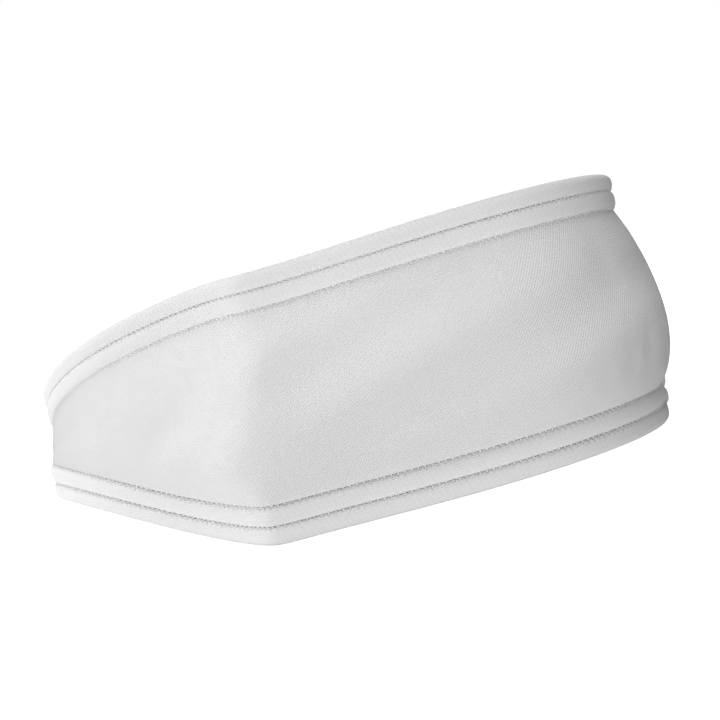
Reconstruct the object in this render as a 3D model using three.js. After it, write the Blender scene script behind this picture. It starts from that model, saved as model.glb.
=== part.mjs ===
// Sports headband: a padded knit band, tall over the forehead and narrow at the nape, finished along
// each edge with two corded rolls. Millimetres, +Z up, the forehead towards -Y, lying on its lower edge.
//
// The band is described by its plan, the closed line that its rolls follow seen from above, and by the
// heights of its lower and upper edge. Both depend on the turn: 0 at the forehead, 90 degrees at an ear,
// 180 degrees at the nape. Each piece is a section swept once round that plan.
import * as THREE from "three";

// ---------------------------------------------------------------- driving sizes, millimetres
const HALF_WIDTH = 76.2;         // of the oval that the upper edge follows
const HALF_LENGTH = 88.7;
const BACK_FULLNESS = 0.046;     // how much wider the oval is behind than in front
const FOREHEAD_POINT = 0.091;    // how far forehead and cheeks depart from an oval
const FOLD_TURN = 55;            // degrees from the forehead to the soft fold on each side
const FOLD_WIDTH = 12;           // degrees of turn over which the fold dies away
const FOLD_ROUNDING = 3;         // degrees over which its corner is rounded
const LOWER_FOLD = 16.9;         // how far the fold stands out along the lower edge
const UPPER_FOLD = 6;            // and along the upper edge, where it fades
const LOWER_EDGE_FLARE = 2.7;    // how far the lower edge stands outside the upper one

const FOREHEAD_HEIGHT = 66.2;
const NAPE_HEIGHT = 28;
const CROWN = 2.2;               // height lost between the forehead and an ear before the taper
const TAPER_START = 58;          // degrees of turn where the height begins to fall
const TAPER_END = 138;           // and where it has reached the nape height
const FOREHEAD_LIFT = 5;         // how far the lower edge rises under the forehead
const LIFT_END = 61.5;           // degrees of turn where it has come down again
const EAR_ARCH = 11.4;           // how far the lower edge rises over the ears
const ARCH_START = 60;           // degrees of turn where that arch springs
const ARCH_END = 166;            // behind this the lower edge lies level across the nape

const UPPER_ROLL_PITCH = 4.6;    // from one roll of the upper edge to the next
const LOWER_ROLL_PITCH = 5.0;
const KNIT_THICKNESS = 0.7;      // sleeve of a roll
const SHELL_THICKNESS = 1.0;     // outer knit panel
const LINING_THICKNESS = 1.2;    // terry inside
const FOREHEAD_PUFF = 4;         // how far the padding swells the outer panel past its seams
const SEAM_INSET = 1.0;          // how far a seam lies behind the face of the rolls
const LINING_INSET = 5.2;        // from the face of the rolls to the skin side of the lining
const THREAD_RADIUS = 0.3;
const TAPE_WIDTH = 12;
const TAPE_THICKNESS = 0.6;
const LABEL_WIDTH = 16;
const LABEL_MARGIN = 1;          // from the label to the seam above it and to the one below
const LABEL_THICKNESS = 0.4;
const FIT_GAP = 0.3;             // left between any two pieces that lie against each other
const AROUND = 72;               // steps round the plan

// ---------------------------------------------------------------- the plan and the two edges
const LOWER = 0;                 // level of a point: 0 on the lower edge's plan, 1 on the upper's
const UPPER = 1;

const { radToDeg, clamp, lerp, inverseLerp, smoothstep, euclideanModulo } = THREE.MathUtils;

const degreesFromForehead = (turn) => Math.abs(euclideanModulo(radToDeg(turn) + 180, 360) - 180);

// Distance from the middle of the plan to the oval.
function ovalReach(turn) {
  const across = HALF_WIDTH * Math.cos(turn);
  const along = HALF_LENGTH * Math.sin(turn);
  const oval = (HALF_WIDTH * HALF_LENGTH) / Math.hypot(across, along);
  return oval * (1 - BACK_FULLNESS * Math.cos(turn) + FOREHEAD_POINT * Math.cos(3 * turn));
}

// How much of the two folds is felt at a turn: near 1 on a fold, 0 away from both.
function foldShare(turn) {
  const degrees = degreesFromForehead(turn);
  const near = Math.hypot(degrees - FOLD_TURN, FOLD_ROUNDING);
  const far = Math.hypot(degrees + FOLD_TURN, FOLD_ROUNDING);
  return Math.exp(-near / FOLD_WIDTH) + Math.exp(-far / FOLD_WIDTH);
}

function planPoint(turn, level) {
  const lower = LOWER_FOLD * foldShare(turn) + LOWER_EDGE_FLARE;
  const upper = UPPER_FOLD * foldShare(turn);
  const reach = ovalReach(turn) + lerp(lower, upper, level);
  return new THREE.Vector2(reach * Math.sin(turn), -reach * Math.cos(turn));
}

// The level direction that points straight out of the band.
function outward(turn, level) {
  const nudge = 1e-3;
  const along = planPoint(turn + nudge, level).sub(planPoint(turn - nudge, level)).normalize();
  return new THREE.Vector2(along.y, -along.x);
}

// The lower edge rises under the forehead and over the ears, and lies level at the folds and the nape.
function lowerEdge(turn) {
  const degrees = degreesFromForehead(turn);
  const lift = degrees < LIFT_END ? (1 + Math.cos((Math.PI * degrees) / LIFT_END)) / 2 : 0;
  const along = clamp(inverseLerp(ARCH_START, ARCH_END, degrees), 0, 1);
  return FOREHEAD_LIFT * lift + EAR_ARCH * Math.sin(Math.PI * along) ** 2;
}

function upperEdge(turn) {
  const taper = smoothstep(degreesFromForehead(turn), TAPER_START, TAPER_END);
  const height = lerp(FOREHEAD_HEIGHT, NAPE_HEIGHT, taper);
  return lowerEdge(turn) + height - CROWN * Math.sin(turn) ** 2;
}

// ---------------------------------------------------------------- sweeping a section round the plan
// sectionAt(turn) lists the corners of the section, anticlockwise with the outside of the band on the
// right, each as [distance outwards from the plan, height, level].
function placeSection(corners, turn, positions) {
  for (const [out, height, level] of corners) {
    const point = planPoint(turn, level).addScaledVector(outward(turn, level), out);
    positions.push(point.x, point.y, height);
  }
}

function stripFaces(corners, ring, nextRing, faces) {
  for (let i = 0; i < corners; i += 1) {
    const next = (i + 1) % corners;
    const [a, b] = [ring * corners + i, ring * corners + next];
    const [c, d] = [nextRing * corners + next, nextRing * corners + i];
    faces.push(a, d, c, a, c, b);
  }
}

function meshFrom(positions, faces) {
  const geometry = new THREE.BufferGeometry();
  geometry.setAttribute("position", new THREE.Float32BufferAttribute(positions, 3));
  geometry.setIndex(faces);
  geometry.computeVertexNormals();
  return geometry;
}

// A closed ring all the way round.
function sweepRound(sectionAt) {
  const positions = [];
  const faces = [];
  const corners = sectionAt(0).length;
  for (let step = 0; step < AROUND; step += 1) {
    const turn = (step / AROUND) * 2 * Math.PI;
    placeSection(sectionAt(turn), turn, positions);
    stripFaces(corners, step, (step + 1) % AROUND, faces);
  }
  return meshFrom(positions, faces);
}

// A patch between two turns, closed at both ends. Its section is convex.
function sweepBetween(sectionAt, start, end, steps) {
  const positions = [];
  const faces = [];
  const corners = sectionAt(start).length;
  for (let step = 0; step <= steps; step += 1) {
    const turn = lerp(start, end, step / steps);
    placeSection(sectionAt(turn), turn, positions);
    if (step < steps) stripFaces(corners, step, step + 1, faces);
  }
  for (let i = 1; i < corners - 1; i += 1) {
    const last = steps * corners;
    faces.push(0, i, i + 1, last, last + i + 1, last + i);
  }
  return meshFrom(positions, faces);
}

// ---------------------------------------------------------------- rolls, cords and threads
const ROLL_SIDES = 8;            // of the outside of a sleeve
const BORE_SIDES = 6;            // of the inside of a sleeve
const CORD_SIDES = 6;
const THREAD_SIDES = 4;

// The four rolls: which edge each follows, and its place from that edge, in pitches.
const ROLLS = [
  { name: "top_edge_roll_outer", cord: "elastic_cord_top_outer", level: UPPER, place: 0.5 },
  { name: "top_edge_roll_inner", cord: "elastic_cord_top_inner", level: UPPER, place: 1.5 },
  { name: "bottom_edge_roll_inner", cord: "elastic_cord_bottom_inner", level: LOWER, place: 1.5 },
  { name: "bottom_edge_roll_outer", cord: "elastic_cord_bottom_outer", level: LOWER, place: 0.5 },
];

// The four stitch rows lie in the grooves one and two pitches from an edge.
const STITCH_ROWS = [
  { name: "stitch_row_top_edge", level: UPPER, place: 1 },
  { name: "stitch_row_top_panel", level: UPPER, place: 2 },
  { name: "stitch_row_bottom_panel", level: LOWER, place: 2 },
  { name: "stitch_row_bottom_edge", level: LOWER, place: 1 },
];

const pitchOf = (level) => (level === UPPER ? UPPER_ROLL_PITCH : LOWER_ROLL_PITCH);
const rollRadius = (level) => (pitchOf(level) - FIT_GAP) / 2;

// Height of a line that runs a number of roll pitches in from an edge. The outer roll touches the edge.
function heightFromEdge(turn, level, pitches) {
  const distance = pitches * pitchOf(level) - FIT_GAP / 2;
  return level === UPPER ? upperEdge(turn) - distance : lowerEdge(turn) + distance;
}

// Corners of a regular section round a centre, with a flat side up, down, in and out.
function roundSection(radius, sides, centreOut, centreHeight, level) {
  const corners = [];
  for (let i = 0; i < sides; i += 1) {
    const angle = -Math.PI + ((i + 0.5) / sides) * 2 * Math.PI;
    corners.push([centreOut + radius * Math.cos(angle), centreHeight + radius * Math.sin(angle), level]);
  }
  return corners;
}

// The knit sleeve of a roll, open along its skin side, where its edges are turned in.
function sleeve({ level, place }) {
  const radius = rollRadius(level);
  const acrossCorners = radius / Math.cos(Math.PI / ROLL_SIDES);
  return sweepRound((turn) => {
    const height = heightFromEdge(turn, level, place);
    const outer = roundSection(acrossCorners, ROLL_SIDES, -radius, height, level);
    const inner = roundSection(radius - KNIT_THICKNESS, BORE_SIDES, -radius, height, level);
    return [...outer, ...inner.reverse()];
  });
}

// The round elastic that fills a sleeve.
function elasticCord({ level, place }) {
  const radius = rollRadius(level);
  const cordRadius = radius - KNIT_THICKNESS - FIT_GAP / Math.cos(Math.PI / CORD_SIDES);
  return sweepRound((turn) =>
    roundSection(cordRadius, CORD_SIDES, -radius, heightFromEdge(turn, level, place), level));
}

// A row of thread, as deep in the groove between two rolls as it goes.
function stitchRow({ level, place }) {
  const radius = rollRadius(level);
  const grooveMouth = radius * Math.tan(Math.PI / ROLL_SIDES);
  const seat = grooveMouth - FIT_GAP / 2 + Math.SQRT2 * (THREAD_RADIUS + FIT_GAP);
  return sweepRound((turn) =>
    roundSection(THREAD_RADIUS, THREAD_SIDES, seat - radius, heightFromEdge(turn, level, place), level));
}

// ---------------------------------------------------------------- shell, padding and lining
const SEAM_ROOM = THREAD_RADIUS + FIT_GAP;
const CURVED = [0, 0.1, 0.3, 0.5, 0.7, 0.9, 1]; // shares of the panel's height where a face has corners
const FLATTER = [0, 0.25, 0.5, 0.75, 1];
const PUFF_FLATNESS = 2.5;       // 2 swells the panel like an arc, more keeps it flat in the middle

function panelBounds(turn) {
  return [heightFromEdge(turn, LOWER, 2) + SEAM_ROOM, heightFromEdge(turn, UPPER, 2) - SEAM_ROOM];
}

// The outer face of the shell at a share of the panel's height. It swells less where the panel is low.
function shellFace(turn, share) {
  const [low, high] = panelBounds(turn);
  const [foreheadLow, foreheadHigh] = panelBounds(0);
  const puff = (FOREHEAD_PUFF * (high - low)) / (foreheadHigh - foreheadLow);
  return puff * (1 - Math.abs(2 * share - 1) ** PUFF_FLATNESS) - SEAM_INSET;
}

// A layer of the panel, between two faces. A face is a function of turn and share, with the shares of
// its corners.
function layer(outer, inner) {
  return sweepRound((turn) => {
    const [low, high] = panelBounds(turn);
    const corners = ({ face, shares }) =>
      shares.map((share) => [face(turn, share), lerp(low, high, share), share]);
    return [...corners(outer), ...corners(inner).reverse()];
  });
}

const behindShell = (distance) => ({
  face: (turn, share) => shellFace(turn, share) - distance,
  shares: CURVED,
});
const aboveSkin = (distance) => ({ face: () => distance - LINING_INSET, shares: FLATTER });

const outerBand = () => layer(behindShell(0), behindShell(SHELL_THICKNESS));
const foamPadding = () =>
  layer(behindShell(SHELL_THICKNESS + FIT_GAP), aboveSkin(LINING_THICKNESS + FIT_GAP));
const sweatLining = () => layer(aboveSkin(LINING_THICKNESS), aboveSkin(0));

// ---------------------------------------------------------------- tape and label at the nape
const PATCH_STEPS = 4;
const LABEL_CLEARANCE = 2;       // from the edge of the tape to the label

// A flat strip against the skin side of the lining, centred a distance along it from the nape.
function insidePatch(fromNape, width, thickness, heightsAt) {
  const perMillimetre = 1 / (planPoint(Math.PI, LOWER).length() - LINING_INSET);
  const centre = Math.PI - fromNape * perMillimetre;
  const half = (width / 2) * perMillimetre;
  const face = -LINING_INSET - FIT_GAP;
  const section = (turn) => {
    const [low, high] = heightsAt(turn);
    const levelOf = (height) => inverseLerp(...panelBounds(turn), height);
    const corner = (out, height) => [out, height, levelOf(height)];
    return [corner(face, low), corner(face, high), corner(face - thickness, high),
      corner(face - thickness, low)];
  };
  return sweepBetween(section, centre - half, centre + half, PATCH_STEPS);
}

const seamTape = () => insidePatch(0, TAPE_WIDTH, TAPE_THICKNESS, panelBounds);

function careLabel() {
  const fromNape = (TAPE_WIDTH + LABEL_WIDTH) / 2 + LABEL_CLEARANCE;
  return insidePatch(fromNape, LABEL_WIDTH, LABEL_THICKNESS, (turn) => {
    const [low, high] = panelBounds(turn);
    return [low + LABEL_MARGIN, high - LABEL_MARGIN];
  });
}

// ---------------------------------------------------------------- materials and assembly
const cloth = (color, roughness) => new THREE.MeshStandardMaterial({ color, roughness, metalness: 0 });
const KNIT = () => cloth("#f2f2f2", 0.9);
const THREAD = () => cloth("#e6e6e6", 0.7);
const FOAM = () => cloth("#efece2", 1);
const TERRY = () => cloth("#f4f4f2", 1);
const ELASTIC = () => cloth("#e9e9e6", 0.8);
const WOVEN = () => cloth("#f0f0ee", 0.8);

const band = new THREE.Group();

function add(name, geometry, material) {
  const mesh = new THREE.Mesh(geometry, material);
  mesh.name = name;
  band.add(mesh);
}

add("outer_band", outerBand(), KNIT());
add("foam_padding", foamPadding(), FOAM());
add("sweat_lining", sweatLining(), TERRY());
for (const roll of ROLLS) {
  add(roll.name, sleeve(roll), KNIT());
  add(roll.cord, elasticCord(roll), ELASTIC());
}
for (const row of STITCH_ROWS) add(row.name, stitchRow(row), THREAD());
add("back_seam_tape", seamTape(), WOVEN());
add("care_label", careLabel(), WOVEN());

// The origin lies under the middle of the band.
const middle = new THREE.Box3().setFromObject(band).getCenter(new THREE.Vector3());
band.position.set(-middle.x, -middle.y, 0);
band.updateMatrixWorld(true);

export default band;
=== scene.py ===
"""Looks of a padded knit sports headband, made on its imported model.

The band is a padded knit panel between two pairs of corded rolls, with foam behind the knit and terry
against the skin. Everything is swept round one plan line, in metres, +Z up, the forehead towards -Y.
"""
import math

import bpy
import numpy as np
from bpy.props import FloatProperty, FloatVectorProperty, IntProperty, PointerProperty
from mathutils import Matrix, Vector


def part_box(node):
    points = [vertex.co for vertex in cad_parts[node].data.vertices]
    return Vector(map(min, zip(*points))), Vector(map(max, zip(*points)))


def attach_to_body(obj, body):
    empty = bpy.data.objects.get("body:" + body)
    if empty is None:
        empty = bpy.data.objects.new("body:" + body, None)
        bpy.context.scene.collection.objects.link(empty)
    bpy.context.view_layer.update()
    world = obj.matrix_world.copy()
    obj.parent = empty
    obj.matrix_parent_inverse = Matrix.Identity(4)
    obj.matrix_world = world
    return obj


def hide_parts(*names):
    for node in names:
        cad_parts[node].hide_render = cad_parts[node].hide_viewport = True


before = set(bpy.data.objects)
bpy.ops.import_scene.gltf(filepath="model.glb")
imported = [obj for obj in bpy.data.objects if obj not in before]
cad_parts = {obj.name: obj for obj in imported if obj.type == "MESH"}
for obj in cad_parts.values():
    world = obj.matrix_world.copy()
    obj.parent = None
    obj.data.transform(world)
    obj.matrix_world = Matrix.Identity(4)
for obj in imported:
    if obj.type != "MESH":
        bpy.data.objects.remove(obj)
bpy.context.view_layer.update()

bl_info = {
    "name": "Padded Sports Headband",
    "version": (1, 0, 0),
    "blender": (4, 5, 0),
    "location": "View3D > Sidebar > Headband",
    "description": "Builds the knit panel, corded rolls, seams, lining and stage of a padded headband",
    "category": "Object",
}

BODY = "root"

# ---------------- sizes of the band
# Lengths are in metres. Turns and the widths of folds are in degrees, and a turn is counted from the
# middle of the forehead.
HALF_WIDTH = 0.0762
HALF_LENGTH = 0.0887
BACK_FULLNESS = 0.046            # how much further out the back half lies, as a share
FOREHEAD_POINT = 0.091           # how far three broad corners stand out, one at the forehead, as a share
FOLD_TURN = 55.0
FOLD_WIDTH = 12.0
FOLD_ROUNDING = 3.0
LOWER_FOLD = 0.0169
UPPER_FOLD = 0.006
LOWER_EDGE_FLARE = 0.0027

FOREHEAD_HEIGHT = 0.0662
NAPE_HEIGHT = 0.028
CROWN = 0.0022
TAPER_START = 58.0
TAPER_END = 138.0
FOREHEAD_LIFT = 0.005
LIFT_END = 61.5
EAR_ARCH = 0.0114
ARCH_START = 60.0
ARCH_END = 166.0

UPPER_ROLL_PITCH = 0.0046
LOWER_ROLL_PITCH = 0.0050
KNIT_THICKNESS = 0.0006
SHELL_THICKNESS = 0.001
LINING_THICKNESS = 0.0012
SEAM_INSET = 0.001
LINING_INSET = 0.0052
FIT_GAP = 0.0003

LOWER = 0.0
UPPER = 1.0
NAPE = math.pi


def degrees_from_forehead(turn):
    return np.abs((np.degrees(turn) + 180) % 360 - 180)


def smooth_step(value, start, end):
    share = np.clip((value - start) / (end - start), 0, 1)
    return share * share * (3 - 2 * share)


def fold_share(turn, shift=0.0):
    """How much of the two soft folds is felt at a turn. A shift moves both folds towards the ears."""
    degrees = degrees_from_forehead(turn)
    near = np.hypot(degrees - FOLD_TURN - shift, FOLD_ROUNDING)
    far = np.hypot(degrees + FOLD_TURN + shift, FOLD_ROUNDING)
    return np.exp(-near / FOLD_WIDTH) + np.exp(-far / FOLD_WIDTH)


def plan_reach(turn, level):
    oval = HALF_WIDTH * HALF_LENGTH / np.hypot(HALF_WIDTH * np.cos(turn), HALF_LENGTH * np.sin(turn))
    oval = oval * (1 - BACK_FULLNESS * np.cos(turn) + FOREHEAD_POINT * np.cos(3 * turn))
    lower = LOWER_FOLD * fold_share(turn) + LOWER_EDGE_FLARE
    upper = UPPER_FOLD * fold_share(turn)
    return oval + lower * (1 - level) + upper * level


# The band's box is centred on the frame's origin, and its rearmost point is the lowest roll's.
MIDDLE_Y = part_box("bottom_edge_roll_outer")[1].y - float(plan_reach(NAPE, LOWER))


def plan_point(turn, level):
    reach = plan_reach(turn, level)
    return np.stack(np.broadcast_arrays(reach * np.sin(turn), MIDDLE_Y - reach * np.cos(turn)), axis=-1)


def outward(turn, level):
    """The level direction that points straight out of the band."""
    nudge = 1e-3
    along = plan_point(turn + nudge, level) - plan_point(turn - nudge, level)
    along = along / np.linalg.norm(along, axis=-1, keepdims=True)
    return np.stack([along[..., 1], -along[..., 0]], axis=-1)


def lower_edge(turn):
    degrees = degrees_from_forehead(turn)
    lift = np.where(degrees < LIFT_END, (1 + np.cos(np.pi * degrees / LIFT_END)) / 2, 0)
    along = np.clip((degrees - ARCH_START) / (ARCH_END - ARCH_START), 0, 1)
    return FOREHEAD_LIFT * lift + EAR_ARCH * np.sin(np.pi * along) ** 2


def upper_edge(turn):
    taper = smooth_step(degrees_from_forehead(turn), TAPER_START, TAPER_END)
    height = FOREHEAD_HEIGHT * (1 - taper) + NAPE_HEIGHT * taper
    return lower_edge(turn) + height - CROWN * np.sin(turn) ** 2


def pitch_of(level):
    return UPPER_ROLL_PITCH if level == UPPER else LOWER_ROLL_PITCH


def height_from_edge(turn, level, pitches):
    distance = pitches * pitch_of(level) - FIT_GAP / 2
    return upper_edge(turn) - distance if level == UPPER else lower_edge(turn) + distance


def panel_bounds(turn):
    return height_from_edge(turn, LOWER, 2), height_from_edge(turn, UPPER, 2)


def placed(turn, out, height, level):
    """World points from a turn, a distance outwards, a height and a level."""
    turn, out, height, level = np.broadcast_arrays(turn, out, height, level)
    flat = plan_point(turn, level) + outward(turn, level) * out[..., None]
    return np.concatenate([flat, height[..., None]], axis=-1)


# ---------------- evenly spaced steps round the band
def girth_steps(count):
    """Turns that divide the band's girth evenly from the nape on, and the girth walked to each."""
    fine = np.linspace(-np.pi, np.pi, 4001)
    line = plan_point(fine, 0.5)
    walked = np.concatenate([[0], np.cumsum(np.linalg.norm(np.diff(line, axis=0), axis=1))])
    distances = np.linspace(0, walked[-1], count, endpoint=False)
    return np.interp(distances, walked, fine), distances, walked[-1]


def wrapped(phase):
    """Distance to the nearest whole number, signed."""
    return phase - np.round(phase)


def bump_at(value, width):
    return np.exp(-((value / width) ** 2))


# ---------------- meshes
def ring_quads(rings, corners, strips):
    """Rings, corners and faces of so many strips of a grid that closes round the band."""
    ring, corner = np.meshgrid(np.arange(rings), np.arange(strips), indexing="ij")
    here, after, above = ring * corners, (ring + 1) % rings * corners, (corner + 1) % corners
    quads = np.stack([here + corner, after + corner, after + above, here + above], axis=-1)
    return ring, corner, quads.reshape(-1, 4).tolist()


def ring_mesh(name, points, girth, across):
    """A closed ring from a grid of points, rings by corners.

    Its UV map is in metres: the girth walked round the band, and the cloth walked across one section.
    """
    rings, corners = points.shape[:2]
    ring, corner, quads = ring_quads(rings, corners, strips=corners)
    mesh = bpy.data.meshes.new(name)
    mesh.from_pydata(points.reshape(-1, 3).tolist(), [], quads)
    u = np.stack([girth[ring], girth[ring + 1], girth[ring + 1], girth[ring]], axis=-1)
    v = np.stack([across[corner], across[corner], across[corner + 1], across[corner + 1]], axis=-1)
    store_uv(mesh, u, v)
    return finished(name, mesh)


def store_uv(mesh, u, v):
    layer = mesh.uv_layers.new(name="cloth")
    layer.data.foreach_set("uv", np.stack([u, v], axis=-1).astype(np.float32).ravel())


def in_scene(name, data):
    made = bpy.data.objects.new(name, data)
    bpy.context.scene.collection.objects.link(made)
    return made


def finished(name, mesh):
    mesh.shade_smooth()
    mesh.validate()
    return in_scene(name, mesh)


def walked_across(points):
    """Cloth walked from corner to corner of a section, closed."""
    loop = np.concatenate([points, points[:1]])
    return np.concatenate([[0], np.cumsum(np.linalg.norm(np.diff(loop, axis=0), axis=1))])


def attach(piece, material, slot, *nodes):
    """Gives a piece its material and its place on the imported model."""
    if not piece.data.materials:
        piece.data.materials.append(material)
    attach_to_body(piece, BODY)
    if nodes:
        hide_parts(*nodes)


def band_piece(name, turn, girth, length, outs, shares):
    """A closed strip between the rolls, from its corners' distances out and shares of the height."""
    low, high = panel_bounds(turn)
    heights = low[:, None] + (high - low)[:, None] * shares
    points = placed(turn[:, None], outs, heights, shares[None])
    across = walked_across(points[len(turn) // 2])
    return ring_mesh(name, points, np.append(girth, length), across), points


# ---------------- properties
def linear(hex_colour):
    """Linear red, green and blue of an sRGB colour."""
    channels = [int(hex_colour[i:i + 2], 16) / 255 for i in (1, 3, 5)]
    return tuple(c / 12.92 if c <= 0.04045 else ((c + 0.055) / 1.055) ** 2.4 for c in channels)


def colour_property(name, hex_colour, description):
    return FloatVectorProperty(name=name, description=description, subtype="COLOR", size=3, min=0, max=1,
                               default=linear(hex_colour))


def length_property(name, value, description):
    return FloatProperty(name=name, description=description, default=value, min=0, precision=5,
                         subtype="DISTANCE", unit="LENGTH")


class HeadbandSizes(bpy.types.PropertyGroup):
    stitches: IntProperty(name="Stitches", default=328, min=40, max=600,
                          description="Stitches in each seam, all the way round")
    stitch_length: length_property("Stitch Length", 0.00090, "Length of a stitch across its seam")
    thread: length_property("Thread", 0.00060, "Thickness of a stitch")
    forehead_puff: length_property("Forehead Puff", 0.0054, "How far the padding swells the knit")
    pucker: length_property("Pucker", 0.00036, "How far each stitch pulls the knit in")
    drape: FloatProperty(name="Drape", default=1.6, min=0, max=3,
                         description="Depth of the soft drape folds, as a share")
    knit_pitch: length_property("Knit Pitch", 0.00060, "From one rib of the knit to the next")
    loop_pitch: length_property("Loop Pitch", 0.00110, "From one terry loop to the next")


class HeadbandColours(bpy.types.PropertyGroup):
    knit: colour_property("Knit", "#F3F3F3", "Brushed knit of the panel and rolls")
    terry: colour_property("Terry", "#F2F1EE", "Looped lining against the skin")
    foam: colour_property("Foam", "#EFEADB", "Padding")
    elastic: colour_property("Elastic", "#E9E8E4", "Cords in the rolls")
    thread: colour_property("Thread", "#F1F1F1", "Sewing thread")
    tape: colour_property("Tape", "#EFEEEA", "Woven tape over the back seam")
    label: colour_property("Label", "#F4F3EF", "Blank satin label")


def sizes():
    return bpy.context.scene.headband_sizes


def colours():
    return bpy.context.scene.headband_colours


# ---------------- materials
def add(tree, kind, values=None, links=None, **settings):
    """Adds a node, with its settings, its input values and what feeds its inputs."""
    node = tree.nodes.new(kind)
    for name, value in settings.items():
        setattr(node, name, value)
    for socket, value in (values or {}).items():
        node.inputs[socket].default_value = value
    for socket, source in (links or {}).items():
        tree.links.new(source, node.inputs[socket])
    return node


def new_material(name):
    material = bpy.data.materials.new(name)
    material.use_nodes = True
    material.node_tree.nodes.clear()
    return material, material.node_tree


def cloth_coordinates(tree, angle=0.0):
    """Metres of cloth along and across the band, turned by an angle in degrees."""
    place = add(tree, "ShaderNodeUVMap", uv_map="cloth")
    turned = add(tree, "ShaderNodeMapping", {"Rotation": (0, 0, math.radians(angle))},
                 {"Vector": place.outputs["UV"]})
    return turned.outputs["Vector"]


def wave_scale(pitch):
    """Scale of a Wave Texture whose bands lie a pitch apart."""
    return 2 * math.pi / (20 * pitch)


def blend(tree, share, first, second):
    mixed = add(tree, "ShaderNodeMix", {"Factor": share}, {"A": first, "B": second}, data_type="FLOAT")
    return mixed.outputs["Result"]


DULLEST = 0.94                   # of a cloth's own colour, where its slow change of tone is darkest


def finish_cloth(tree, colour, height, tone, *, shade, relief, **surface):
    """A cloth surface, its colour darkened by a share in the valleys of its pattern as painted shade, with
    relief.
    """
    # Painted shade: the colour is darkened, by the share given as shade, in the valleys of the pattern
    # where the cloth's hollows lie in shade.
    painted_valley_shade = [channel * (1 - shade) for channel in colour] + [1]
    patterned = add(tree, "ShaderNodeMix", {"A": painted_valley_shade, "B": [*colour, 1]}, {"Factor": height},
                    data_type="RGBA")
    dulled = [channel * DULLEST for channel in colour] + [1]
    toned = add(tree, "ShaderNodeMix", {"B": dulled}, {"A": patterned.outputs["Result"], "Factor": tone},
                data_type="RGBA")
    bump = add(tree, "ShaderNodeBump", {"Strength": 1.0, "Distance": relief}, {"Height": height})
    shader = add(tree, "ShaderNodeBsdfPrincipled", surface,
                 {"Base Color": toned.outputs["Result"], "Normal": bump.outputs["Normal"]})
    add(tree, "ShaderNodeOutputMaterial", links={"Surface": shader.outputs["BSDF"]})


def soft_tone(tree, coordinates, scale):
    """Slow, faint change of tone over the cloth. A scale of 100 changes it about once a centimetre."""
    noise = add(tree, "ShaderNodeTexNoise", {"Scale": scale, "Detail": 2.0, "Roughness": 0.5},
                {"Vector": coordinates})
    ramp = add(tree, "ShaderNodeMapRange", {"From Min": 0.35, "From Max": 0.75},
               {"Value": noise.outputs["Fac"]})
    return ramp.outputs["Result"]


def crossed_yarns(tree, place, pitch, distortion=0.0):
    """Height of two sets of yarns that cross."""
    yarns = [add(tree, "ShaderNodeTexWave", {"Scale": wave_scale(pitch), "Distortion": distortion},
                 {"Vector": place}, wave_type="BANDS", bands_direction=direction)
             for direction in ("X", "Y")]
    return blend(tree, 0.5, *[yarn.outputs["Fac"] for yarn in yarns])


def knit_material(name, twill_angle, relief):
    """Brushed cotton and elastane knit, matt: fine ribs, about 17 to the centimetre, under a short nap."""
    material, tree = new_material(name)
    pitch = sizes().knit_pitch
    plain = cloth_coordinates(tree)
    ribs = add(tree, "ShaderNodeTexWave",
               {"Scale": wave_scale(pitch), "Distortion": 1.2, "Detail": 1.0, "Detail Scale": 0.6},
               {"Vector": cloth_coordinates(tree, twill_angle)}, wave_type="BANDS", bands_direction="X")
    courses = add(tree, "ShaderNodeTexWave",
                  {"Scale": wave_scale(pitch * 0.95), "Distortion": 0.4, "Detail": 1.0,
                   "Detail Scale": 0.6},
                  {"Vector": cloth_coordinates(tree, -5)}, wave_type="BANDS", bands_direction="Y")
    nap = add(tree, "ShaderNodeTexNoise", {"Scale": 1 / (pitch * 1.6), "Detail": 3.0, "Roughness": 0.6},
              {"Vector": plain})
    knit = blend(tree, 0.45, ribs.outputs["Fac"], courses.outputs["Fac"])
    height = blend(tree, 0.35, knit, nap.outputs["Fac"])
    tone = soft_tone(tree, plain, scale=60)
    finish_cloth(tree, colours().knit, height, tone, shade=0.09, relief=relief,
                 **{"Roughness": 0.95, "Specular IOR Level": 0.2, "Sheen Weight": 0.08,
                    "Sheen Roughness": 0.6})
    return material


TERRY_FIBRE = 0.00025            # sizes of the finest things that each pattern shows
FOAM_CELL = 0.0007
ELASTIC_YARN = 0.0007
THREAD_PLY = 0.0003


def terry_material():
    """Looped cotton terry: small round loops that shade one another, quite matt."""
    material, tree = new_material("white looped terry")
    plain = cloth_coordinates(tree)
    loops = add(tree, "ShaderNodeTexVoronoi", {"Scale": 1 / sizes().loop_pitch, "Randomness": 0.8},
                {"Vector": plain}, feature="F1")
    rounded = add(tree, "ShaderNodeMapRange", {"From Min": 0.75, "From Max": 0.0},
                  {"Value": loops.outputs["Distance"]})
    fuzz = add(tree, "ShaderNodeTexNoise", {"Scale": 1 / TERRY_FIBRE, "Detail": 2.0}, {"Vector": plain})
    height = blend(tree, 0.25, rounded.outputs["Result"], fuzz.outputs["Fac"])
    finish_cloth(tree, colours().terry, height, soft_tone(tree, plain, scale=80), shade=0.16, relief=0.0005,
                 **{"Roughness": 1.0, "Specular IOR Level": 0.15, "Sheen Weight": 0.25,
                    "Sheen Roughness": 0.6})
    return material


def foam_material():
    """Open-cell polyurethane foam: off-white, with fine pores."""
    material, tree = new_material("open cell foam")
    place = add(tree, "ShaderNodeTexCoord").outputs["Object"]
    pores = add(tree, "ShaderNodeTexVoronoi", {"Scale": 1 / FOAM_CELL}, {"Vector": place}, feature="F1")
    finish_cloth(tree, colours().foam, pores.outputs["Distance"], soft_tone(tree, place, scale=50),
                 shade=0.2, relief=0.0003, **{"Roughness": 1.0, "Specular IOR Level": 0.2})
    return material


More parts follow.
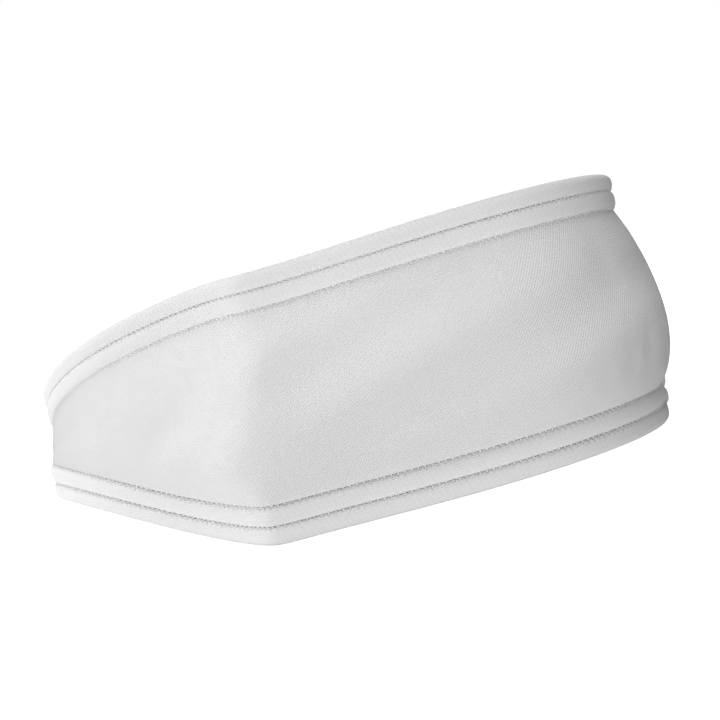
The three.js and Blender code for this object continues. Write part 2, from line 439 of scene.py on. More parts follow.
def elastic_material():
    """Braided round elastic: two sets of fine yarns that cross."""
    material, tree = new_material("braided elastic")
    place = add(tree, "ShaderNodeTexCoord").outputs["Object"]
    height = crossed_yarns(tree, place, ELASTIC_YARN, distortion=0.5)
    finish_cloth(tree, colours().elastic, height, soft_tone(tree, place, scale=40),
                 shade=0.15, relief=0.0002, **{"Roughness": 0.75, "Specular IOR Level": 0.4})
    return material


def thread_material():
    """Twisted polyester thread: a faint gloss, with the ply just showing."""
    material, tree = new_material("polyester thread")
    place = add(tree, "ShaderNodeTexCoord").outputs["Object"]
    ply = add(tree, "ShaderNodeTexWave", {"Scale": wave_scale(THREAD_PLY), "Distortion": 0.6},
              {"Vector": place}, wave_type="BANDS", bands_direction="DIAGONAL")
    finish_cloth(tree, colours().thread, ply.outputs["Fac"], soft_tone(tree, place, scale=90),
                 shade=0.12, relief=0.00006,
                 **{"Roughness": 0.6, "Specular IOR Level": 0.45, "Sheen Weight": 0.1})
    return material


def woven_material(name, colour, pitch, roughness, shade):
    """Plain-woven ribbon: warp and weft threads at right angles."""
    material, tree = new_material(name)
    plain = cloth_coordinates(tree)
    finish_cloth(tree, colour, crossed_yarns(tree, plain, pitch), soft_tone(tree, plain, scale=120),
                 shade=shade, relief=0.0001,
                 **{"Roughness": roughness, "Specular IOR Level": 0.4, "Sheen Weight": 0.1})
    return material


# ---------------- the knit panel
PANEL_STEPS = 4                  # columns for each stitch
PANEL_ROWS = 62
PANEL_BACK_ROWS = 7
FOLD_LEAN = 5.0                  # degrees that each end of the leaning fold lies off its middle
LEANING_SIDE = -0.4              # sine of the turn past which a fold leans in full: one side only
LEAN_FADES = (0.35, 0.75)        # shares of the height between which the lean is felt in full
SEAM_CROWDING = 0.82             # 0 spaces the rows evenly, 1 crowds them together at the seams
PUFF_FLATNESS = 2.5              # 2 is an even arch, more is flatter in the middle
PUFF_SAG = 0.8                   # below 1 the padding swells most a little under the panel's middle
PUFF_TAPER = 2.3                 # how fast the swelling dies away as the panel narrows
TUCK_DEPTH = 0.0001              # how much further in the knit turns at the seam under it
UPPER_TUCK_SHARE = 0.2           # and how much of that at the seam over it
TUCK_REACH = 0.0009
PUCKER_REACH = 0.0009
LAPPED_SHARE = 0.25              # how much a stitch shows on the piece above a seam, against the one below
BACK_SEAM_WIDTH = 0.0006
BACK_SEAM_DEPTH = 0.0007
HOLE_SHARE = 0.15                # half width of a needle hole, as a share of a stitch
# For each seam, by edge and place from it: where in a stitch it starts, and how hard its stitches pull.
SEAM_PHASES = {(LOWER, 1): 0.15, (LOWER, 2): 0.55, (UPPER, 1): 0.8, (UPPER, 2): 0.3}
SEAM_GRIPS = {(LOWER, 1): 0.9, (LOWER, 2): 1.0, (UPPER, 1): 0.8, (UPPER, 2): 1.3}

# Soft drape folds: turn in degrees and share of the height where one starts and ends, half width and
# depth in metres. A ridge has a negative depth.
DRAPE_FOLDS = (
    ((-52, 0.60), (-20, 0.84), 0.0058, 0.0015),
    ((-46, 0.34), (-8, 0.74), 0.0060, -0.0007),
    ((-38, 0.20), (6, 0.62), 0.0055, 0.0006),
    ((-22, 0.14), (22, 0.52), 0.0060, -0.0006),
    ((22, 0.64), (2, 0.84), 0.0070, 0.0006),
    ((26, 0.28), (6, 0.56), 0.0060, -0.0004),
    ((-84, 0.30), (-66, 0.62), 0.0060, 0.0004),
    ((106, 0.28), (86, 0.60), 0.0060, 0.0005),
    ((128, 0.30), (108, 0.55), 0.0050, 0.0004),
    ((-122, 0.25), (-100, 0.60), 0.0050, 0.0004),
)
DRAPE_TAIL = 0.35                # how far a drape fold runs on past each end, as a share of its length
DRAPE_RISE = 0.25                # and how far inside each end it is full


def drape(turn, share, girth, length):
    """How far the drape folds push the knit in."""
    depth = np.zeros(np.broadcast(turn, share).shape)
    tall = FOREHEAD_HEIGHT - 2 * (UPPER_ROLL_PITCH + LOWER_ROLL_PITCH)
    fine = np.linspace(-np.pi, np.pi, 721)
    walked = np.interp(fine, np.append(turn.ravel(), np.pi), np.append(girth, length))
    for start, end, half_width, fold_depth in DRAPE_FOLDS:
        ends = [(np.interp(math.radians(t), fine, walked), s * tall) for t, s in (start, end)]
        (ax, ay), (bx, by) = ends
        span = math.hypot(bx - ax, by - ay)
        across = girth[:, None] - ax, share * tall - ay
        along = (across[0] * (bx - ax) + across[1] * (by - ay)) / span
        off = (across[0] * (by - ay) - across[1] * (bx - ax)) / span
        starting = smooth_step(along / span, -DRAPE_TAIL, DRAPE_RISE)
        ending = smooth_step(along / span, 1 - DRAPE_RISE, 1 + DRAPE_TAIL)
        depth = depth + fold_depth * bump_at(off, half_width) * starting * (1 - ending)
    return depth * sizes().drape


def leaning_fold(turn, share):
    """How far out the one leaning fold moves the knit. At its ends it meets the folds of the edges."""
    lean = FOLD_LEAN * (1 - 2 * share) * smooth_step(np.sin(turn), -LEANING_SIDE, LEANING_SIDE)
    height = LOWER_FOLD * (1 - share) + UPPER_FOLD * share
    fade = smooth_step(share, 0, LEAN_FADES[0]) * smooth_step(share, 1, LEAN_FADES[1])
    return height * (fold_share(turn, lean) - fold_share(turn)) * fade


def panel_rows(rows):
    even = np.linspace(0, 1, rows)
    return even - SEAM_CROWDING / (2 * np.pi) * np.sin(2 * np.pi * even)


def needle_pull(girth, length, level, place):
    """How far in a seam's stitches pull the knit: most at each needle hole, nothing between two."""
    phase = girth / length * sizes().stitches + SEAM_PHASES[level, place]
    return sizes().pucker * SEAM_GRIPS[level, place] * bump_at(wrapped(phase), HOLE_SHARE)


def narrowing(turn):
    """Height of the panel as a share of its height at the forehead."""
    low, high = panel_bounds(turn)
    forehead_low, forehead_high = panel_bounds(0.0)
    return (high - low) / (forehead_high - forehead_low)


def panel_puff(turn, share):
    """How far the padding swells the knit past its seams."""
    crown = 1 - np.abs(2 * share ** PUFF_SAG - 1) ** PUFF_FLATNESS
    return sizes().forehead_puff * narrowing(turn) ** PUFF_TAPER * crown


def panel_face(turn, share, girth, length):
    """How far out the knit lies, before it is let settle."""
    low, high = panel_bounds(turn)
    swell = panel_puff(turn, share)
    from_low, from_high = share * (high - low), (1 - share) * (high - low)
    fade = np.clip(4 * share * (1 - share), 0, 1)
    out = swell - SEAM_INSET - drape(turn, share, girth, length) * fade + leaning_fold(turn, share)
    for distance, level in ((from_low, LOWER), (from_high, UPPER)):
        pull = needle_pull(girth, length, level, 2)[:, None] * (1 if level == UPPER else LAPPED_SHARE)
        tuck = TUCK_DEPTH * (1 if level == LOWER else UPPER_TUCK_SHARE)
        out = out - tuck * np.exp(-distance / TUCK_REACH) - pull * np.exp(-distance / PUCKER_REACH)
    back = np.minimum(girth, length - girth)[:, None]
    return out - BACK_SEAM_DEPTH * bump_at(back, BACK_SEAM_WIDTH)


# The knit is let settle over its padding as a cloth, held along both seams.
SETTLE_AROUND = 132
SETTLE_ROWS = 13
SETTLE_FRAMES = 20
SETTLE_PRESSURE = 4.0
SETTLE_SLACK = 0.012             # spare cloth, as a share, which lets the knit lie a little unevenly
SETTLE_CAP = 0.0005              # furthest that a point may move
SETTLE_SOFTENING = 0.9           # of the coarse grid's steps, when it is spread on the fine one


def settled_cloth():
    """Distances that the knit moves out as it settles, on a coarse grid of turns by rows."""
    turn, girth, length = girth_steps(SETTLE_AROUND)
    share = np.linspace(0, 1, SETTLE_ROWS)
    low, high = panel_bounds(turn)
    height = low[:, None] + (high - low)[:, None] * share
    start = panel_face(turn[:, None], share[None], girth, length)
    points = placed(turn[:, None], start, height, share[None])
    _, _, quads = ring_quads(SETTLE_AROUND, SETTLE_ROWS, strips=SETTLE_ROWS - 1)
    mesh = bpy.data.meshes.new("settling_knit")
    mesh.from_pydata(points.reshape(-1, 3).tolist(), [], quads)
    cloth_piece = in_scene("settling_knit", mesh)
    held = cloth_piece.vertex_groups.new(name="seams")
    edge = [r * SETTLE_ROWS + s for r in range(SETTLE_AROUND) for s in (0, SETTLE_ROWS - 1)]
    held.add(edge, 1.0, "REPLACE")
    cloth = cloth_piece.modifiers.new("cloth", "CLOTH")
    settings = cloth.settings
    settings.quality = 8
    settings.mass = 0.2
    settings.tension_stiffness = 12
    settings.compression_stiffness = 12
    settings.shear_stiffness = 4
    settings.bending_stiffness = 0.3
    settings.vertex_group_mass = "seams"
    settings.shrink_min = -SETTLE_SLACK
    settings.use_pressure = True
    settings.uniform_pressure_force = SETTLE_PRESSURE
    settings.effector_weights.gravity = 0
    cloth.point_cache.frame_start = 1
    cloth.point_cache.frame_end = SETTLE_FRAMES
    for step in range(1, SETTLE_FRAMES + 1):
        bpy.context.scene.frame_set(step)
    evaluated = cloth_piece.evaluated_get(bpy.context.evaluated_depsgraph_get())
    moved = np.empty(len(mesh.vertices) * 3, np.float32)
    evaluated.data.vertices.foreach_get("co", moved)
    moved = moved.reshape(points.shape)
    straight_out = outward(*np.broadcast_arrays(turn[:, None], share[None]))
    shift = ((moved - points)[..., :2] * straight_out).sum(-1)
    bpy.data.objects.remove(cloth_piece)
    bpy.context.scene.frame_set(1)
    return np.clip(shift, -SETTLE_CAP, SETTLE_CAP), girth, length, share


def softened(values, girth, length, share, fine_girth, fine_share):
    """The coarse grid's values on a finer one, without facets."""
    apart = wrapped((fine_girth[:, None] - girth[None]) / length) * len(girth)
    around = np.exp(-((apart / SETTLE_SOFTENING) ** 2))
    rows_apart = (fine_share[:, None] - share[None]) * (len(share) - 1)
    rows = np.exp(-((rows_apart / SETTLE_SOFTENING) ** 2))
    around = around / around.sum(1, keepdims=True)
    rows = rows / rows.sum(1, keepdims=True)
    return around @ values @ rows.T


class HEADBAND_OT_knit_shell(bpy.types.Operator):
    """Outer knit panel, drawn over its padding between the rolls"""

    bl_idname = "headband.knit_shell"
    bl_label = "Knit Shell"

    def execute(self, context):
        turn, girth, length = girth_steps(sizes().stitches * PANEL_STEPS)
        share = panel_rows(PANEL_ROWS)
        out = panel_face(turn[:, None], share[None], girth, length)
        shift, coarse_girth, _, coarse_share = settled_cloth()
        edge_fade = np.clip(6 * share * (1 - share), 0, 1)
        settled = softened(shift, coarse_girth, length, coarse_share, girth, share)
        out = out + settled * edge_fade * narrowing(turn)[:, None]
        inner_share = np.linspace(1, 0, PANEL_BACK_ROWS)
        inner = np.stack([np.interp(inner_share, share, row) for row in out]) - SHELL_THICKNESS
        shares = np.concatenate([share, inner_share])
        outs = np.concatenate([out, inner], axis=1)
        piece, points = band_piece("knit_shell", turn, girth, length, outs, shares)
        material = knit_material("brushed white knit", twill_angle=32, relief=0.00024)
        attach(piece, material, "white_knit", "outer_band")
        return {"FINISHED"}


# ---------------- padding and lining
FOAM_COLUMNS = 260
FOAM_SHARES = np.linspace(0.02, 0.98, 13)
FOAM_EASE = 0.00009              # between the padding and the knit over it
FOAM_LEAST = 0.0004              # thickness of the padding where it is thinnest
LINING_COLUMNS = 1040
LINING_ROWS = 44
LINING_BACK_ROWS = 5
LINING_EDGE_THINNING = 0.0006    # how much thinner the lining is pressed at its seams
LINING_EDGE_SHARPNESS = 6
LOOP_SCATTER = 0.00016           # how far a terry loop stands above or below the rest


class HEADBAND_OT_foam_core(bpy.types.Operator):
    """Foam padding between the knit and the lining"""

    bl_idname = "headband.foam_core"
    bl_label = "Foam Core"

    def execute(self, context):
        turn, girth, length = girth_steps(FOAM_COLUMNS)
        share = FOAM_SHARES
        skin_side = -LINING_INSET + LINING_THICKNESS + FIT_GAP / 2
        swell = panel_puff(turn[:, None], share[None])
        hollow = np.maximum(drape(turn[:, None], share[None], girth, length), 0)
        lean = leaning_fold(turn[:, None], share[None])
        outer = swell + lean - SEAM_INSET - TUCK_DEPTH - SHELL_THICKNESS - hollow - FOAM_EASE
        outer = np.maximum(outer, skin_side + FOAM_LEAST)
        inner = np.full_like(outer, skin_side)
        shares = np.concatenate([share, share[::-1]])
        outs = np.concatenate([outer, inner], axis=1)
        piece, _ = band_piece("foam_core", turn, girth, length, outs, shares)
        attach(piece, foam_material(), "foam", "foam_padding")
        return {"FINISHED"}


class HEADBAND_OT_terry_lining(bpy.types.Operator):
    """Looped terry lining on the skin side"""

    bl_idname = "headband.terry_lining"
    bl_label = "Terry Lining"

    def execute(self, context):
        turn, girth, length = girth_steps(LINING_COLUMNS)
        share = np.linspace(0, 1, LINING_ROWS)
        loops = LOOP_SCATTER * np.random.default_rng(7).uniform(-1, 1, (LINING_COLUMNS, LINING_ROWS))
        thinning = LINING_EDGE_THINNING * np.abs(2 * share - 1) ** LINING_EDGE_SHARPNESS
        skin = -LINING_INSET + thinning + loops
        backing = np.full((LINING_COLUMNS, LINING_BACK_ROWS), -LINING_INSET + LINING_THICKNESS)
        shares = np.concatenate([np.linspace(0, 1, LINING_BACK_ROWS), share[::-1]])
        outs = np.concatenate([backing, skin[:, ::-1]], axis=1)
        piece, _ = band_piece("terry_lining", turn, girth, length, outs, shares)
        attach(piece, terry_material(), "terry", "sweat_lining")
        return {"FINISHED"}


# ---------------- rolls and their cords
ROLL_STEPS = 6                   # rings for each stitch
ROLL_CORNERS = 34                # round the outside of a sleeve
BORE_CORNERS = 8
SLIT = 0.05                      # half the opening on the skin side, radians
SHOULDER_DEPTH = 0.0006          # from a roll's face in to its upper seam
SHOULDER_FULLNESS = 3.2          # 2 is an even curve, more is flatter first and then steeper
SLOPE_DEPTH = 0.0009             # from a roll's face in to its lower seam
SLOPE_FULLNESS = 2.2
SHOULDER_ANGLE = math.radians(54)  # from straight out, up to where the stitches above grip a roll
SLOPE_ANGLE = math.radians(66)   # and down to where the stitches below do
GRIP_SPREAD = math.radians(16)
ROUND_SQUARENESS = 2.5           # of a roll's skin side and free side: 2 is round, more fills the corners
ROLL_EASE = 0.002                # how much slimmer than its place a roll is at its thickest, as a share
ROLL_UNEVENNESS = 0.010          # and how much slimmer or thicker it is here and there
ROLL_BACK_SEAM_DEPTH = 0.0003

# Name, the cord that it holds, the edge that it follows, and its place from that edge in pitches.
ROLLS = (
    ("top_edge_roll_outer", "elastic_cord_top_outer", UPPER, 0.5),
    ("top_edge_roll_inner", "elastic_cord_top_inner", UPPER, 1.5),
    ("bottom_edge_roll_inner", "elastic_cord_bottom_inner", LOWER, 1.5),
    ("bottom_edge_roll_outer", "elastic_cord_bottom_outer", LOWER, 0.5),
)


def unevenness(girth, length, seed):
    """Slow irregular variation along a roll, between -1 and 1."""
    phases = np.random.default_rng(seed).uniform(0, 2 * np.pi, 6)
    waves = [np.sin(2 * np.pi * girth / length * cycles + phase)
             for cycles, phase in zip((5, 9, 14, 23, 37, 59), phases)]
    return sum(waves) / len(waves)


def roll_section(angle, half, free_side):
    """Radius of a roll's section. Outside, it slopes to the seam below and has a full shoulder above it.

    It lies flat against its neighbours, and is rounder on its skin side and its free side.
    """
    up = np.linspace(-half, half, 161)
    depth = np.where(up > 0, SHOULDER_DEPTH, SLOPE_DEPTH)
    face = half - depth * np.abs(up / half) ** np.where(up > 0, SHOULDER_FULLNESS, SLOPE_FULLNESS)
    crown = np.interp(angle, np.arctan2(up, face), np.hypot(up, face))
    cosine, sine = np.cos(angle), np.abs(np.sin(angle))
    wall = half / np.maximum(sine, 0.5)
    sewn = np.where(wall * cosine < half - np.where(angle > 0, SHOULDER_DEPTH, SLOPE_DEPTH), wall, crown)
    free = np.sign(angle) == free_side
    tall = np.where(free, half - FIT_GAP / 2, half)
    across = (np.abs(cosine) / half) ** ROUND_SQUARENESS
    rounded = (across + (sine / tall) ** ROUND_SQUARENESS) ** (-1 / ROUND_SQUARENESS)
    return np.where((cosine < 0) | free, rounded, sewn)


def roll_radius(angle, girth, length, level, place, seed):
    """Radius of a roll at each ring and angle: pulled in where each stitch of its seams grips it."""
    uneven = 1 - ROLL_EASE + ROLL_UNEVENNESS * (unevenness(girth, length, seed) - 1)
    inward = -1 if level == UPPER else 1
    free_side = -inward if place < 1 else 0
    radius = uneven[:, None] * roll_section(angle, pitch_of(level) / 2, free_side)[None]
    seams = [(int(place + 0.5), inward)]
    if place > 1:
        seams.append((int(place - 0.5), -inward))
    for seam, side in seams:
        share, grip_angle = (1, SHOULDER_ANGLE) if side > 0 else (LAPPED_SHARE, SLOPE_ANGLE)
        pull = needle_pull(girth, length, level, seam)[:, None] * share
        radius = radius - pull * bump_at(angle[None] - side * grip_angle, GRIP_SPREAD)
    back = np.minimum(girth, length - girth)[:, None]
    return radius - ROLL_BACK_SEAM_DEPTH * bump_at(back, BACK_SEAM_WIDTH)


def roll_piece(name, level, place, seed):
    turn, girth, length = girth_steps(sizes().stitches * ROLL_STEPS)
    angle = np.linspace(-np.pi + SLIT, np.pi - SLIT, ROLL_CORNERS)
    bore_angle = np.linspace(np.pi - SLIT, -np.pi + SLIT, BORE_CORNERS)
    outer = roll_radius(angle, girth, length, level, place, seed)
    bore = np.full((len(turn), BORE_CORNERS), pitch_of(level) / 2 - KNIT_THICKNESS)
    radius = np.concatenate([outer, bore], axis=1)
    angles = np.concatenate([angle, bore_angle])[None]
    centre_out = -pitch_of(level) / 2
    heights = height_from_edge(turn, level, place)[:, None] + radius * np.sin(angles)
    points = placed(turn[:, None], centre_out + radius * np.cos(angles), heights, level)
    return ring_mesh(name, points, np.append(girth, length), walked_across(points[0]))


class HEADBAND_OT_rolls(bpy.types.Operator):
    """Four knit sleeves, two along each edge, gripped by the seams"""

    bl_idname = "headband.rolls"
    bl_label = "Edge Rolls"

    def execute(self, context):
        material = knit_material("knit drawn over cord", twill_angle=58, relief=0.00016)
        for seed, (node, _, level, place) in enumerate(ROLLS):
            piece = roll_piece(node + "_sleeve", level, place, seed)
            attach(piece, material, "roll_knit", node)
        return {"FINISHED"}


class HEADBAND_OT_cords(bpy.types.Operator):
    """Braided elastic cords inside the rolls"""

    bl_idname = "headband.cords"
    bl_label = "Elastic Cords"

    def execute(self, context):
        material = elastic_material()
        for _, cord, _, _ in ROLLS:
            cord_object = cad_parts[cord]
            for slot in cord_object.material_slots:
                slot.material = material
        return {"FINISHED"}


# ---------------- stitches
# Each stitch crosses its seam as a short upright loop in its needle hole. It is drawn about twice as
# thick as real thread, so that it shows.
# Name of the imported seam, the edge that it follows, its place from that edge in pitches, and how deep
# in its groove the thread lies.
SEAMS = (
    ("stitch_row_top_edge", UPPER, 1, 0.00090),
    ("stitch_row_top_panel", UPPER, 2, 0.00115),
    ("stitch_row_bottom_panel", LOWER, 2, 0.00095),
    ("stitch_row_bottom_edge", LOWER, 1, 0.00090),
)
# No two stitches are alike: least and greatest scale along the seam, into the band and across the seam.
LEAST_STITCH = (0.85, 0.85, 0.75)
FULLEST_STITCH = (1.25, 1.05, 1.20)


def stitch_tree(material):
    """Geometry Nodes: one short stitch on each point of a seam, standing across it."""
    tree = bpy.data.node_groups.new("stitches along a seam", "GeometryNodeTree")
    for name, in_out, kind in (
        ("Geometry", "INPUT", "NodeSocketGeometry"),
        ("Stitch Length", "INPUT", "NodeSocketFloat"),
        ("Thread Thickness", "INPUT", "NodeSocketFloat"),
        ("Geometry", "OUTPUT", "NodeSocketGeometry"),
    ):
        tree.interface.new_socket(name, in_out=in_out, socket_type=kind)
    given = add(tree, "NodeGroupInput")
    thread = given.outputs["Thread Thickness"]
    scale = add(tree, "ShaderNodeCombineXYZ",
                links={"X": thread, "Y": thread, "Z": given.outputs["Stitch Length"]})
    bead = add(tree, "GeometryNodeMeshUVSphere", {"Segments": 6, "Rings": 5, "Radius": 0.5})
    stitch = add(tree, "GeometryNodeTransform", links={"Geometry": bead.outputs["Mesh"],
                                                       "Scale": scale.outputs["Vector"]})
    path = add(tree, "GeometryNodeMeshToCurve", links={"Mesh": given.outputs["Geometry"]})
    tangent = add(tree, "GeometryNodeInputTangent")
    turned = add(tree, "FunctionNodeAlignRotationToVector", links={"Vector": tangent.outputs["Tangent"]},
                 axis="X")
    uneven = add(tree, "FunctionNodeRandomValue", {"Seed": 3}, data_type="FLOAT_VECTOR")
    for socket, scales in zip(uneven.inputs, (LEAST_STITCH, FULLEST_STITCH)):
        socket.default_value = scales
    laid = add(tree, "GeometryNodeInstanceOnPoints",
               links={"Points": path.outputs["Curve"], "Instance": stitch.outputs["Geometry"],
                      "Rotation": turned.outputs["Rotation"], "Scale": uneven.outputs["Value"]})
    real = add(tree, "GeometryNodeRealizeInstances", links={"Geometry": laid.outputs["Instances"]})
    dyed = add(tree, "GeometryNodeSetMaterial", {"Material": material},
               {"Geometry": real.outputs["Geometry"]})
    add(tree, "NodeGroupOutput", links={"Geometry": dyed.outputs["Geometry"]})
    return tree


def socket_identifier(tree, name):
    for item in tree.interface.items_tree:
        if item.name == name and item.in_out == "INPUT":
            return item.identifier
    raise RuntimeError(f"the stitch tree has no input named {name}")


def seam_path(name, level, place, depth):
    """A closed chain of points, one for each needle hole."""
    count = sizes().stitches
    turn, girth, length = girth_steps(count * 40)
    holes = np.sort((np.arange(count) - SEAM_PHASES[level, place]) / count * length % length)
    turns = np.interp(holes, np.append(girth, length), np.append(turn, np.pi))
    points = placed(turns, -depth, height_from_edge(turns, level, place), level)
    mesh = bpy.data.meshes.new(name)
    edges = [(i, (i + 1) % count) for i in range(count)]
    mesh.from_pydata(points.tolist(), edges, [])
    return in_scene(name, mesh)


def applied(piece, name):
    """A plain mesh object of what a piece's modifiers make. The piece itself is removed."""
    evaluated = piece.evaluated_get(bpy.context.evaluated_depsgraph_get())
    mesh = bpy.data.meshes.new_from_object(evaluated)
    bpy.data.objects.remove(piece)
    mesh.name = name
    return finished(name, mesh)


class HEADBAND_OT_stitches(bpy.types.Operator):
    """Rows of stitches in the four seams"""

    bl_idname = "headband.stitches"
    bl_label = "Stitches"

    def execute(self, context):
        material = thread_material()
        tree = stitch_tree(material)
        for node, level, place, depth in SEAMS:
            path = seam_path(node + "_path", level, place, depth)
            nodes = path.modifiers.new("stitches", "NODES")
            nodes.node_group = tree
            nodes[socket_identifier(tree, "Stitch Length")] = sizes().stitch_length
            nodes[socket_identifier(tree, "Thread Thickness")] = sizes().thread
            piece = applied(path, node + "_thread")
            attach(piece, material, "thread", node)
        return {"FINISHED"}


# ---------------- tape and label
PATCH_COLUMNS = 40
PATCH_ROWS = 16
PATCH_LIFT = 0.0002              # how far the middle of a patch stands off the lining
PATCH_THICKNESS = 0.0005
PATCH_RIM = 0.0006               # width of its rounded edge
PATCH_EDGE_SHARE = 0.35          # thickness right at the edge, as a share


def patch_piece(name, node):
    """A thin strip against the lining, in the place of a packed one, with softly rounded edges."""
    low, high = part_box(node)
    middle = (low + high) / 2
    turns = [math.atan2(x, -(high.y - MIDDLE_Y)) for x in (low.x, high.x)]
    turns = [t % (2 * math.pi) for t in turns]
    across = np.linspace(max(turns), min(turns), PATCH_COLUMNS)
    share = np.linspace(0, 1, PATCH_ROWS)
    edge = np.minimum(np.minimum(share, 1 - share) * (high.z - low.z) / PATCH_RIM, 1)[None]
    side = np.linspace(0, 1, PATCH_COLUMNS)
    ends = np.minimum(np.minimum(side, 1 - side) * abs(high.x - low.x) / PATCH_RIM, 1)[:, None]
    fullness = np.sqrt(1 - (1 - edge) ** 2) * np.sqrt(1 - (1 - ends) ** 2)  # quarter rounds
    face = -LINING_INSET - FIT_GAP
    thickness = PATCH_THICKNESS * (PATCH_EDGE_SHARE + (1 - PATCH_EDGE_SHARE) * fullness)
    skin = face - thickness - PATCH_LIFT * edge * ends
    back = np.full_like(skin, face)
    height = low.z + (high.z - low.z) * share[None]
    level = np.full((1, PATCH_ROWS), (middle.z - float(lower_edge(NAPE))) / NAPE_HEIGHT)
    grids = [placed(across[:, None], out, height, level) for out in (back, skin)]
    return closed_patch(name, *grids)


def closed_patch(name, back, front):
    """Two grids of points joined along their rims."""
    columns, rows = back.shape[:2]
    column, row = np.meshgrid(np.arange(columns - 1), np.arange(rows - 1), indexing="ij")
    first = column * rows + row
    quads = np.stack([first, first + rows, first + rows + 1, first + 1], axis=-1).reshape(-1, 4)
    rim = [c * rows for c in range(columns)] + [(columns - 1) * rows + r for r in range(1, rows)]
    rim += [c * rows + rows - 1 for c in range(columns - 2, -1, -1)] + [r for r in range(rows - 2, 0, -1)]
    count = columns * rows
    walls = [(a, a + count, b + count, b) for a, b in zip(rim, rim[1:] + rim[:1])]
    faces = quads[:, ::-1].tolist() + (quads + count).tolist() + [w[::-1] for w in walls]
    mesh = bpy.data.meshes.new(name)
    mesh.from_pydata(np.concatenate([back.reshape(-1, 3), front.reshape(-1, 3)]).tolist(), [], faces)
    corners = np.empty(len(mesh.loops), np.int32)
    mesh.loops.foreach_get("vertex_index", corners)
    flat = np.empty(len(mesh.vertices) * 3, np.float32)
    mesh.vertices.foreach_get("co", flat)
    flat = flat.reshape(-1, 3)[corners]
    store_uv(mesh, flat[:, 0], flat[:, 2])
    mesh.update()
    return finished(name, mesh)


class HEADBAND_OT_back_tape(bpy.types.Operator):
    """Woven tape over the seam at the nape, and the blank label beside it"""

    bl_idname = "headband.back_tape"
    bl_label = "Tape and Label"

    def execute(self, context):
        tape = woven_material("woven cotton tape", colours().tape, pitch=0.0005, roughness=0.85, shade=0.2)
        satin = woven_material("blank satin label", colours().label, pitch=0.00025, roughness=0.45,
                               shade=0.06)
        for name, node, slot, material in (
            ("seam_tape", "back_seam_tape", "woven_tape", tape),
            ("blank_label", "care_label", "label_cloth", satin),
        ):
            piece = patch_piece(name, node)
            attach(piece, material, slot, node)
        return {"FINISHED"}


# ---------------- stage
CAMERA_AZIMUTH = -36.49          # degrees from straight ahead of the forehead
CAMERA_ELEVATION = 6.16
CAMERA_ROLL = 11.91
CAMERA_DISTANCE = 0.45648
CAMERA_AIM_ACROSS = -0.00158
CAMERA_AIM_UP = 0.03124
CAMERA_LENS = 79.81              # millimetres


def view_axes(azimuth, elevation):
    """Right, up and back of an upright view."""
    azimuth, elevation = math.radians(azimuth), math.radians(elevation)
    back = Vector((math.sin(azimuth) * math.cos(elevation), -math.cos(azimuth) * math.cos(elevation),
                   math.sin(elevation)))
    right = Vector((math.cos(azimuth), math.sin(azimuth), 0))
    return right, back.cross(right), back


def make_camera():
    right, up, back = view_axes(CAMERA_AZIMUTH, CAMERA_ELEVATION)
    place = right * CAMERA_AIM_ACROSS + up * CAMERA_AIM_UP + back * CAMERA_DISTANCE
    roll = math.radians(CAMERA_ROLL)
    rolled_right = right * math.cos(roll) - up * math.sin(roll)
    rolled_up = right * math.sin(roll) + up * math.cos(roll)
    camera = in_scene("camera", bpy.data.cameras.new("camera"))
    camera.data.lens = CAMERA_LENS
    camera.data.clip_start = CAMERA_DISTANCE / 40
    turn = Matrix((rolled_right, rolled_up, back)).transposed()
    camera.matrix_world = Matrix.Translation(place) @ turn.to_4x4()
    bpy.context.scene.camera = camera


# Square soft boxes: name, degrees round from the camera, elevation, width in metres and power in watts.
SOFT_BOXES = (
    ("side soft box", -103, 6, 0.5, 6.0),
    ("rear soft box", 180, 38, 0.5, 2.6),
    ("top soft box", 0, 80, 0.6, 4.9),
)
SOFT_BOX_DISTANCE = 0.9


def make_light(name, round_from_camera, elevation, size, power):
    """A soft box that looks at the middle of the band."""
    right, up, back = view_axes(CAMERA_AZIMUTH + round_from_camera, elevation)
    data = bpy.data.lights.new(name, "AREA")
    data.size = size
    data.energy = power
    light = in_scene(name, data)
    target = Vector((0, 0, FOREHEAD_HEIGHT / 2))
    turn = Matrix((right, up, back)).transposed()
    light.matrix_world = Matrix.Translation(target + back * SOFT_BOX_DISTANCE) @ turn.to_4x4()


GLOW_AZIMUTH = -42.0             # where the white round the band glows most: in front and below
GLOW_ELEVATION = -22.0
GLOW_RISE = (0.50, 0.99)         # cosines from that direction where the glow starts and is full
FULL_GLOW = 1.84
REAR_GLOW = 0.05                 # its strength before it starts


def make_world():
    """White all round to look at; as light, a broad glow from in front and below, as off a lit table."""
    world = bpy.data.worlds.new("soft studio")
    bpy.context.scene.world = world
    world.use_nodes = True
    tree = world.node_tree
    tree.nodes.clear()
    direction = add(tree, "ShaderNodeTexCoord").outputs["Generated"]
    _, _, brightest = view_axes(GLOW_AZIMUTH, GLOW_ELEVATION)
    lean = add(tree, "ShaderNodeVectorMath", {1: brightest}, {0: direction}, operation="DOT_PRODUCT")
    glow = add(tree, "ShaderNodeMapRange",
               {"From Min": GLOW_RISE[0], "From Max": GLOW_RISE[1], "To Min": REAR_GLOW,
                "To Max": FULL_GLOW}, {"Value": lean.outputs["Value"]})
    sky = add(tree, "ShaderNodeBackground", {"Color": (1, 1, 1, 1)}, {"Strength": glow.outputs["Result"]})
    seen = add(tree, "ShaderNodeBackground", {"Color": (1, 1, 1, 1), "Strength": 1.0})
    rays = add(tree, "ShaderNodeLightPath")
    both = add(tree, "ShaderNodeMixShader",
               links={0: rays.outputs["Is Camera Ray"], 1: sky.outputs["Background"],
                      2: seen.outputs["Background"]})
    add(tree, "ShaderNodeOutputWorld", links={"Surface": both.outputs["Shader"]})


TABLE_REACH = 30.0               # half its width


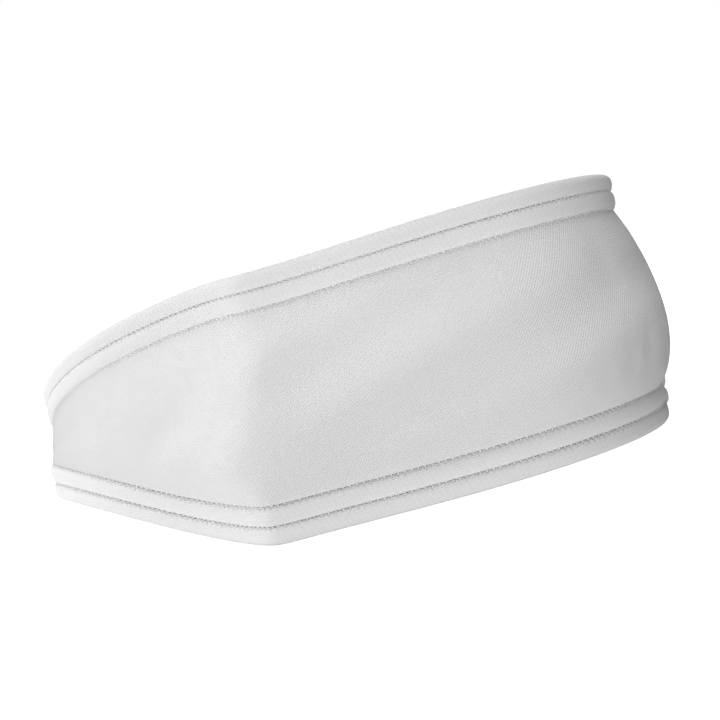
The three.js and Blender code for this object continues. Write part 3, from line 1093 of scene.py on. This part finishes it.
def floor_material():
    """Opal acrylic of a light table: pale, matt and lit from below, so that it holds no shadow."""
    material, tree = new_material("opal acrylic table")
    shader = add(tree, "ShaderNodeBsdfPrincipled",
                 {"Base Color": (*linear("#FFFFFF"), 1), "Roughness": 0.8, "Specular IOR Level": 0.1,
                  "Emission Color": (1, 1, 1, 1), "Emission Strength": 1.0})
    add(tree, "ShaderNodeOutputMaterial", links={"Surface": shader.outputs["BSDF"]})
    return material


class HEADBAND_OT_stage(bpy.types.Operator):
    """Camera, pale floor and soft studio light"""

    bl_idname = "headband.stage"
    bl_label = "Stage"

    def execute(self, context):
        make_camera()
        make_world()
        for soft_box in SOFT_BOXES:
            make_light(*soft_box)
        mesh = bpy.data.meshes.new("table")
        corners = [(x * TABLE_REACH, y * TABLE_REACH, 0) for x, y in ((-1, -1), (1, -1), (1, 1), (-1, 1))]
        mesh.from_pydata(corners, [], [(0, 1, 2, 3)])
        table = finished("table", mesh)
        table.data.materials.append(floor_material())
        # The glow from below passes the table, as it would through a lit one.
        table.visible_diffuse = False
        table.visible_shadow = False
        context.scene.view_settings.view_transform = "Standard"
        return {"FINISHED"}


# ---------------- panel and registration
BUILD_ORDER = ("stage", "foam_core", "knit_shell", "terry_lining", "rolls", "cords", "stitches",
               "back_tape")


class HEADBAND_PT_builder(bpy.types.Panel):
    """Builds the headband piece by piece"""

    bl_label = "Headband"
    bl_idname = "HEADBAND_PT_builder"
    bl_space_type = "VIEW_3D"
    bl_region_type = "UI"
    bl_category = "Headband"

    def draw(self, context):
        for group in (context.scene.headband_sizes, context.scene.headband_colours):
            box = self.layout.box()
            for name in group.__annotations__:
                box.prop(group, name)
        for name in BUILD_ORDER:
            self.layout.operator(f"headband.{name}")


CLASSES = (
    HeadbandSizes,
    HeadbandColours,
    HEADBAND_OT_stage,
    HEADBAND_OT_foam_core,
    HEADBAND_OT_knit_shell,
    HEADBAND_OT_terry_lining,
    HEADBAND_OT_rolls,
    HEADBAND_OT_cords,
    HEADBAND_OT_stitches,
    HEADBAND_OT_back_tape,
    HEADBAND_PT_builder,
)


def register():
    for cls in CLASSES:
        bpy.utils.register_class(cls)
    bpy.types.Scene.headband_sizes = PointerProperty(type=HeadbandSizes)
    bpy.types.Scene.headband_colours = PointerProperty(type=HeadbandColours)


def unregister():
    del bpy.types.Scene.headband_colours
    del bpy.types.Scene.headband_sizes
    for cls in reversed(CLASSES):
        bpy.utils.unregister_class(cls)


def main():
    register()
    for name in BUILD_ORDER:
        getattr(bpy.ops.headband, name)()


if __name__ == "__main__":
    main()
